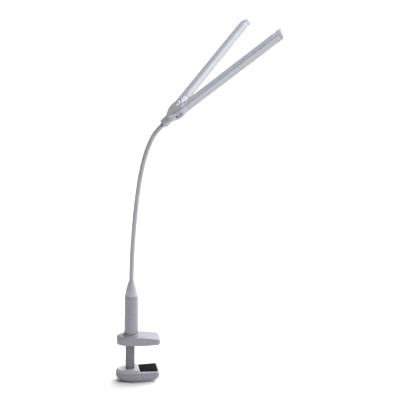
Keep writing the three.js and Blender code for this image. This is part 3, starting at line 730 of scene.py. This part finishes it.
def mast():
    foot = [(MAST_BORE_R, MAST_FOOT), (MAST_NECK_R, MAST_FOOT), (MAST_NECK_R, MAST_BOTTOM)]
    groove = 0.45
    skirt = [(MAST_FOOT_R - 0.7, MAST_BOTTOM), (MAST_FOOT_R, MAST_BOTTOM + 0.7),
             (MAST_FOOT_R, MAST_BOTTOM + 2.9), (MAST_FOOT_R - groove, MAST_BOTTOM + 3.1),
             (MAST_FOOT_R - groove, MAST_BOTTOM + 3.4), (MAST_FOOT_R - 0.02, MAST_BOTTOM + 3.6)]
    wall = [(MAST_FOOT_R + (MAST_R - MAST_FOOT_R) * s / 12,
             MAST_BOTTOM + 3.6 + (MAST_TOP - 0.5 - MAST_BOTTOM - 3.6) * s / 12) for s in range(1, 13)]
    rim = [(MAST_R - 0.15, MAST_TOP - 0.15), (MAST_R - 0.5, MAST_TOP), (MAST_BORE_R, MAST_TOP)]
    tube = lathe("mast_barrel", foot + skirt + wall + rim, (MAST_X, 0, 0), 128)
    inlet = Matrix.Translation(Vector((MAST_X, 0, JACK_Z)) * MM) @ Matrix.Rotation(-math.pi / 2, 4, "X")
    boolean(tube, rod("inlet_hole", JACK_R + GAP, 5, 22, segments=48, matrix=inlet))
    shade(tube, 30)
    finish_piece(tube, "abs", "mast", "mast_tube")

    outline = bezier([(NECK_R + 0.9, CONE_TOP), (NECK_R + 2.1, CONE_TOP - 2.2),
                      (7.0, CONE_TOP - 3.4), (7.7, CONE_TOP - 6)], 6)
    flank = [(8.3, CONE_TOP - 8), (9.05, CONE_TOP - 10.6), (9.7, CONE_TOP - 13), (10.37, CONE_TOP - 15.3),
             (11, CONE_TOP - 17.5), (11.75, CONE_TOP - 20.6), (12.4, CONE_TOP - 24),
             (12.95, CONE_TOP - 27.2), (13.32, MAST_TOP + 2), (13.5, MAST_TOP + 0.9),
             (13.4, MAST_TOP + GAP)]
    inside = [(MAST_BORE_R - GAP, MAST_TOP + GAP), (MAST_BORE_R - GAP, 101), (10.6, 101), (10.6, 110),
              (NECK_R + 0.4, 126), (NECK_R + 0.4, CONE_TOP - 0.2)]
    cone = lathe("mast_cone", inside + [tuple(p) for p in outline] + flank, (MAST_X, 0, 0), 128, sharp=40)
    # The cone gets the lighter white: painted light.
    finish_piece(cone, "abs", "mast", "mast_cone_cap", material=PAINTED_LIGHT_WHITE)


# ------------------------------------------------------------------ neck

def on_head_axis(a):
    return Vector((HEAD[0] + a * math.cos(HEAD_PITCH), 0, HEAD[2] + a * math.sin(HEAD_PITCH)))


def neck_line(steps=60):
    """The neck's centre line as closely spaced points, a centripetal spline through its guide points."""
    guide = [Vector(p) for p in ((MAST_X, 0, NECK_START), (MAST_X, 0, 148), (-36.3, 0, 195),
                                 (-32.2, 0, 262), (-25.9, 0, 325), (-18.2, 0, 375), (-7.1, 0, 417),
                                 (6.8, 0, 447))]
    guide += [on_head_axis(SOCKET_FROM + 2), on_head_axis(SOCKET_FLOOR - 1)]
    guide = [guide[0] * 2 - guide[1]] + guide + [guide[-1] * 2 - guide[-2]]
    points = []
    for p0, p1, p2, p3 in zip(guide, guide[1:], guide[2:], guide[3:]):
        d0, d1, d2 = ((b - a).length ** 0.5 for a, b in ((p0, p1), (p1, p2), (p2, p3)))
        t1 = ((p1 - p0) / d0 - (p2 - p0) / (d0 + d1) + (p2 - p1) / d1) * d1
        t2 = ((p2 - p1) / d1 - (p3 - p1) / (d1 + d2) + (p3 - p2) / d2) * d1
        for s in range(steps):
            t = s / steps
            points.append(p1 + t1 * t + (p1 * -3 + p2 * 3 - t1 * 2 - t2) * t ** 2
                          + (p1 * 2 - p2 * 2 + t1 + t2) * t ** 3)
    points.append(guide[-2])
    return points


def neck():
    line = neck_line()
    along = [0.0]
    for a, b in zip(line, line[1:]):
        along.append(along[-1] + (b - a).length)

    def at(distance):
        k = 0
        while k < len(along) - 2 and along[k + 1] < distance:
            k += 1
        share = (distance - along[k]) / (along[k + 1] - along[k])
        return line[k].lerp(line[k + 1], share), (line[k + 1] - line[k]).normalized()

    joints = [j for j in frame["joints"] if j["name"].startswith("neck_")]
    places = [60 + (along[-1] - 97) * i / 6 for i in range(7)]
    middles = [(a + b) / 2 for a, b in zip(places, places[1:])]
    ends = [8.0] + middles + [along[-1] - 3]
    for i, joint in enumerate(joints):
        start, stop = ends[i], ends[i + 1]
        steps = max(8, round((stop - start) / 1.6))
        rings = []
        for s in range(steps + 1):
            p, t = at(start + (stop - start) * s / steps)
            across = Vector((0, 1, 0))
            up = t.cross(across)
            rings.append([p + (across * math.cos(a) + up * math.sin(a)) * NECK_R
                          for a in (2 * math.pi * k / SLEEVE_SIDES for k in range(SLEEVE_SIDES))])
        verts, faces = skin(rings)
        faces += [tuple(reversed(range(SLEEVE_SIDES))),
                  tuple(range(steps * SLEEVE_SIDES, (steps + 1) * SLEEVE_SIDES))]
        piece = make(f"neck_sleeve_{i + 1}", verts, faces)
        layer = piece.data.uv_layers.new(name="sleeve")
        for poly in piece.data.polygons:
            for loop, vert in zip(poly.loop_indices, poly.vertices):
                ring = vert // SLEEVE_SIDES
                layer.data[loop].uv = ((vert % SLEEVE_SIDES) / SLEEVE_SIDES,
                                       start + (stop - start) * ring / steps)
        piece.data.materials.append(MATERIALS["neck_sleeve"])
        direction = at(places[i])[1]
        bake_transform(piece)
        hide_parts(*([f"neck_link_{i + 1}"] if i < 6 else ["neck_link_7", "neck_link_8"]))


# ------------------------------------------------------------------ head

HEAD_AT = Matrix.Translation(Vector(HEAD) * MM) @ Matrix.Rotation(-HEAD_PITCH, 4, "Y")
ALONG_X = Matrix.Rotation(math.pi / 2, 4, "Y")


def bar_at(side):
    return (HEAD_AT @ Matrix.Translation(Vector((0, side * PIVOT_Y, 0)) * MM)
            @ Matrix.Rotation(side * BAR_SPREAD, 4, "Z"))


def hub_outline():
    """The hub's heart-shaped plan outline: a lobe round each pivot, closing in to the socket."""
    back = Vector((-24.0, SOCKET_R - 0.6))
    reach = math.hypot(back.x, PIVOT_Y - back.y)
    towards = math.atan2(PIVOT_Y - back.y, -back.x)
    tangent = towards + math.asin(LOBE_R / reach) + math.pi / 2
    front = 1.15
    points = []
    for s in range(33):
        a = -tangent + (front + tangent) * s / 32
        points.append((LOBE_R * math.cos(a), -PIVOT_Y + LOBE_R * math.sin(a)))
    for s in range(33):
        a = -front + (tangent + front) * s / 32
        points.append((LOBE_R * math.cos(a), PIVOT_Y + LOBE_R * math.sin(a)))
    start = Vector(points[-1])
    side = [tuple(start.lerp(back, s / 6)) for s in range(7)]
    return points + side + [(x, -y) for x, y in reversed(side)]


def hub():
    outline = []
    for p in hub_outline():
        if not outline or (Vector(p) - Vector(outline[-1])).length > 0.4:
            outline.append(p)
    plate = rounded_slab("hub_shell", outline, HUB_BOTTOM, HUB_TOP, 3.6, 8)
    socket = lathe("socket", [(0, SOCKET_FROM), (8.3, SOCKET_FROM), (8.9, SOCKET_FROM + 0.4),
                              (SOCKET_R, SOCKET_FROM + 1.2), (SOCKET_R, -26), (9.1, -20), (8.6, -13),
                              (0, -13)], segments=96, matrix=ALONG_X)
    boolean(plate, socket, "UNION")
    remesh = plate.modifiers.new("remesh", "REMESH")
    remesh.mode = "VOXEL"
    remesh.voxel_size = 0.55 * MM
    remesh.use_smooth_shade = True
    smooth = plate.modifiers.new("smooth", "SMOOTH")
    smooth.factor = 0.5
    smooth.iterations = 14
    apply_modifiers(plate)

    slot = box("slot", SLOT_BACK, 40, -50, 50, -SLOT_LIP, SLOT_LIP)
    boolean(plate, slot)
    for side in (-1, 1):
        boolean(plate, rod("slot", SLOT_R, -SLOT_HALF, SLOT_HALF, 0, side * PIVOT_Y, 96))
        boolean(plate, rod("pin_space", PIVOT_HEAD_R, -12, -5.7, 0, side * PIVOT_Y, 64))
        boolean(plate, rod("pin_space", PIVOT_HOLE_R, -12, 6.5, 0, side * PIVOT_Y, 48))
        boolean(plate, rod("screw_space", SCREW_HOLE_R, -12, -5.9, SCREW_X, side * SCREW_Y, 48))
    boolean(plate, rod("mouth", 7.0, SOCKET_FROM - 5, SOCKET_FROM + 3.5, segments=64, matrix=ALONG_X))
    boolean(plate, rod("neck_space", 5.2, SOCKET_FROM - 5, SOCKET_FLOOR, segments=64, matrix=ALONG_X))
    seam = box("seam", -21, SLOT_BACK + 0.1, -50, 50, 0, 0.35)
    boolean(plate, seam)
    plate.data.transform(HEAD_AT)
    shade(plate, 34)
    # The hub gets the lighter white: painted light on the head.
    finish_piece(plate, "abs", "head", "hub_lower_shell", "hub_upper_shell", material=PAINTED_LIGHT_WHITE)

    # Painted shadow: a dark ring in the socket's mouth round the neck, standing for the shadow where the neck
    # enters the socket.
    mouth_painted_shadow = lathe("neck_mouth_painted_shadow", [(4.76, SOCKET_FROM - 1.7), (5.15, SOCKET_FROM - 1.7),
                                     (5.35, SOCKET_FROM - 1.4), (5.35, SOCKET_FROM + 3),
                                     (4.76, SOCKET_FROM + 3)],
                    segments=64, matrix=HEAD_AT @ ALONG_X)
    finish_piece(mouth_painted_shadow, "post_plastic", "head")


def bar_ring(floor, inset=0.0, bottom_r=0.0, steps=14):
    """One cross-section of a light bar as (y, z): its top from +y to -y, then its underside back."""
    half = BAR_HALF - inset
    crown = BAR_CROWN - inset
    side = BAR_SIDE
    quarter = bezier([(half, side), (half, side + 2.2), (half - 4, crown), (0, crown)], steps)
    top = [(p.x, p.y) for p in quarter] + [(-p.x, p.y) for p in reversed(quarter[:-1])]
    under = []
    for y, _ in reversed(top):
        over = max(0.0, abs(y) - (half - bottom_r)) if bottom_r else 0.0
        drop = bottom_r - math.sqrt(max(0.0, bottom_r ** 2 - over ** 2)) if bottom_r else 0.0
        under.append((y, floor + inset + drop))
    return top, under


def bar_body(name, stations, matrix, sharp=32.0):
    """A bar-shaped closed body. Each station is (x of y, top row, underside row)."""
    rings = []
    for x_at, top, under in stations:
        rings.append([(x_at(y), y, z) for y, z in top + under])
    verts, faces = skin(rings)
    count = len(rings[0])
    rows = len(stations[0][1])
    for base in (0, count * (len(rings) - 1)):
        for k in range(rows - 1):
            faces.append((base + k, base + k + 1, base + count - 2 - k, base + count - 1 - k))
    return make(name, verts, faces, matrix, sharp)


def light_bar(side):
    label = "left" if side > 0 else "right"
    place = bar_at(side)
    body = f"{label}_bar"

    def straight(x):
        return lambda y: x

    root = bar_body(f"{label}_bar_arm", [
        (straight(x), *bar_ring(BAR_BOTTOM, inset, 1.0)) for x, inset in
        ((ROOT_FROM, 0), (ROOT_TO - 0.4, 0), (ROOT_TO - 0.1, 0.12), (ROOT_TO, 0.35))], None)
    boolean(root, rod("clear", ROOT_CLEAR, -20, 20, segments=160))
    ramp = [(0, BAR_BOTTOM - 2), (17, BAR_BOTTOM - 2), (17, BAR_BOTTOM), (ROOT_FROM, -SLOT_HALF),
            (0, -SLOT_HALF)]
    upright = Matrix.Rotation(math.pi / 2, 4, "X")
    boolean(root, prism("ramp", ramp, -30, 30, upright))
    tongue = box("tongue", 0, ROOT_TO - 6, -10, 10, -2, 2)
    boolean(tongue, rod("round", DISC_R, -DISC_HALF, DISC_HALF, segments=96), "UNION")
    lug = [(0.0, 0.0)] + [(LUG_R * math.cos(a), LUG_R * math.sin(a))
                          for a in (math.radians(4.5 * k) for k in range(-10, 11))]
    boolean(tongue, prism("lug", lug, -LUG_HALF, LUG_HALF), "UNION")
    for z0, z1 in ((WASHER_SPACE_Z, 5), (-5, -WASHER_SPACE_Z)):
        boolean(tongue, rod("washer_space", WASHER_SPACE_R, z0, z1, segments=64))
    boolean(root, tongue, "UNION")
    boolean(root, rod("pivot", PIVOT_HOLE_R, -20, 20, segments=48))
    root.data.transform(place)
    shade(root, 30)
    finish_piece(root, "bar_plastic", body, f"{label}_bar_root")

    start = ROOT_TO + GAP
    ends = [(start, 0.35), (start + 0.1, 0.12), (start + 0.4, 0.0)]
    spans = [start + 0.4 + (BODY_END - start - 0.8) * s / 24 for s in range(1, 24)]
    stations = ends + [(x, 0.0) for x in spans] + [(BODY_END - 0.4, 0.0), (BODY_END - 0.1, 0.12),
                                                   (BODY_END, 0.35)]
    cover = bar_body(f"{label}_bar_cover", [(straight(x), *bar_ring(BAR_SPLIT + GAP, inset))
                                            for x, inset in stations], place)
    finish_piece(cover, "bar_plastic", body, f"{label}_bar_housing")

    def lens_ring(inset):
        half = BAR_HALF - inset
        rows = [half * math.cos(math.pi * k / 28) for k in range(29)]
        top = [(y, BAR_SPLIT - inset) for y in rows]
        under = []
        r = 1.3
        for y in reversed(rows):
            over = max(0.0, abs(y) - (half - r))
            under.append((y, BAR_BOTTOM + inset + r - math.sqrt(max(0.0, r * r - over * over))))
        return top, under
    lens = bar_body(f"{label}_bar_lens", [(straight(x), *lens_ring(inset)) for x, inset in stations], place)
    finish_piece(lens, "diffuser", body, f"{label}_bar_diffuser")

    cap_from = BODY_END + GAP

    def bulged(share):
        def x_at(y):
            end = BAR_END - END_BULGE_R + math.sqrt(END_BULGE_R ** 2 - y ** 2)
            return cap_from + (end - cap_from) * share
        return x_at
    shares = [(0.0, 0.35), (0.012, 0.12), (0.04, 0.0), (0.3, 0.0), (0.6, 0.0), (0.8, 0.0), (0.87, 0.08),
              (0.93, 0.3), (0.97, 0.6), (1.0, 1.15)]
    cap = bar_body(f"{label}_bar_end",
                   [(bulged(s), *bar_ring(BAR_BOTTOM, inset, 1.0)) for s, inset in shares], place)
    finish_piece(cap, "bar_plastic", body, f"{label}_bar_end_cap")
    # Painted shade: faces turned outwards along the bar get the darker copy of the bar plastic.
    cap.data.materials.append(SHADED_CAP_FACE)
    outwards = place.to_3x3() @ Vector((1, 0, 0))
    for face in cap.data.polygons:
        if face.normal.dot(outwards) > 0.45:
            face.material_index = 1


upper_jaw()
lower_jaw()
mast()
neck()
hub()
for which in (1, -1):
    light_bar(which)


# ------------------------------------------------------------------ floor, light and camera

def floor():
    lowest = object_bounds()[0][2]
    size = 60.0
    mesh = bpy.data.meshes.new("floor")
    z = lowest - 0.0002
    corners = [(-size, -size, z), (size, -size, z), (size, size, z), (-size, size, z)]
    mesh.from_pydata(corners, [], [(0, 1, 2, 3)])
    obj = bpy.data.objects.new("floor", mesh)
    bpy.context.scene.collection.objects.link(obj)
    m = Nodes("floor_paint")
    cloud = m.noise(1.5, 3, 0.5)
    tone = m.ramp(cloud, "Fac", [(0.3, (0.77, 0.77, 0.775)), (0.7, (0.79, 0.79, 0.79))])
    m.link(tone, "Color", m.shader, "Base Color")
    m.set(Roughness=0.9, IOR=1.2)
    mesh.materials.append(m.material)
    obj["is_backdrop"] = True


def sun(name, direction, strength, angle, colour=(1, 1, 1)):
    light = bpy.data.lights.new(name, "SUN")
    light.energy = strength
    light.angle = math.radians(angle)
    light.color = colour
    obj = bpy.data.objects.new(name, light)
    obj.rotation_euler = Vector(direction).to_track_quat("Z", "Y").to_euler()
    bpy.context.scene.collection.objects.link(obj)


def softbox(name, place, target, width, height, power, colour=(1, 1, 1)):
    light = bpy.data.lights.new(name, "AREA")
    light.shape = "RECTANGLE"
    light.size, light.size_y = width, height
    light.energy = power
    light.color = colour
    obj = bpy.data.objects.new(name, light)
    obj.location = place
    obj.rotation_euler = (Vector(place) - Vector(target)).to_track_quat("Z", "Y").to_euler()
    bpy.context.scene.collection.objects.link(obj)


DOME_CENTRE = (0.55, 0.28, 0.79)
DOME_LEVELS = [(0.0, 0.045), (1.0, 1.0), (0.42, 0.09), (0.72, 0.55)]
DOME_STRENGTH = 3.6


def world():
    surround = bpy.data.worlds.new("studio")
    bpy.context.scene.world = surround
    surround.use_nodes = True
    tree = surround.node_tree
    tree.nodes.clear()
    out = tree.nodes.new("ShaderNodeOutputWorld")
    soft = tree.nodes.new("ShaderNodeBackground")
    coords = tree.nodes.new("ShaderNodeTexCoord")
    towards = tree.nodes.new("ShaderNodeVectorMath")
    towards.operation = "DOT_PRODUCT"
    towards.inputs[1].default_value = Vector(DOME_CENTRE).normalized()
    dome = tree.nodes.new("ShaderNodeValToRGB")
    for element, (at, level) in zip([dome.color_ramp.elements[0], dome.color_ramp.elements[1],
                                     dome.color_ramp.elements.new(0.45), dome.color_ramp.elements.new(0.75)],
                                    DOME_LEVELS):
        element.position = at
        element.color = (level * 0.97, level * 0.98, level, 1)
    tree.links.new(coords.outputs["Generated"], towards.inputs[0])
    tree.links.new(towards.outputs["Value"], dome.inputs["Fac"])
    tree.links.new(dome.outputs["Color"], soft.inputs["Color"])
    soft.inputs["Strength"].default_value = DOME_STRENGTH
    backdrop = tree.nodes.new("ShaderNodeBackground")
    backdrop.inputs["Color"].default_value = (1, 1, 1, 1)
    backdrop.inputs["Strength"].default_value = 1.0
    seen = tree.nodes.new("ShaderNodeLightPath")
    mix = tree.nodes.new("ShaderNodeMixShader")
    tree.links.new(seen.outputs["Is Camera Ray"], mix.inputs[0])
    tree.links.new(soft.outputs[0], mix.inputs[1])
    tree.links.new(backdrop.outputs[0], mix.inputs[2])
    tree.links.new(mix.outputs[0], out.inputs["Surface"])


CAMERA_PLACE = (-0.23316, -1.63481, 0.77781)
CAMERA_TURN_DIP_ROLL = (11.5823, 15.67, 1.5756)
CAMERA_LENS = 76.5


def camera():
    turn, dip, roll = (math.radians(a) for a in CAMERA_TURN_DIP_ROLL)
    ahead = Vector((math.sin(turn) * math.cos(dip), math.cos(turn) * math.cos(dip), -math.sin(dip)))
    right = Vector((math.cos(turn), -math.sin(turn), 0))
    up = right.cross(ahead)
    tilted_right = right * math.cos(roll) + up * math.sin(roll)
    tilted_up = up * math.cos(roll) - right * math.sin(roll)
    data = bpy.data.cameras.new("camera")
    data.sensor_width = 36
    data.lens = CAMERA_LENS
    data.clip_end = 200
    obj = bpy.data.objects.new("camera", data)
    rotation = Matrix((tilted_right, tilted_up, -ahead)).transposed().to_4x4()
    obj.matrix_world = Matrix.Translation(CAMERA_PLACE) @ rotation
    bpy.context.scene.collection.objects.link(obj)
    bpy.context.scene.camera = obj


world()
camera()
sun("overhead", (0.45, 0.30, 0.84), 0.9, 35)
softbox("side_box", (1.1, 0.75, 0.55), (0.0, 0.0, 0.2), 0.5, 1.3, 6.5)
softbox("front_box", (1.15, -0.95, 0.90), (0.1, 0.0, 0.45), 0.7, 1.1, 7)
floor()
bpy.context.scene.view_settings.view_transform = "Standard"
bpy.context.scene.view_settings.look = "None"
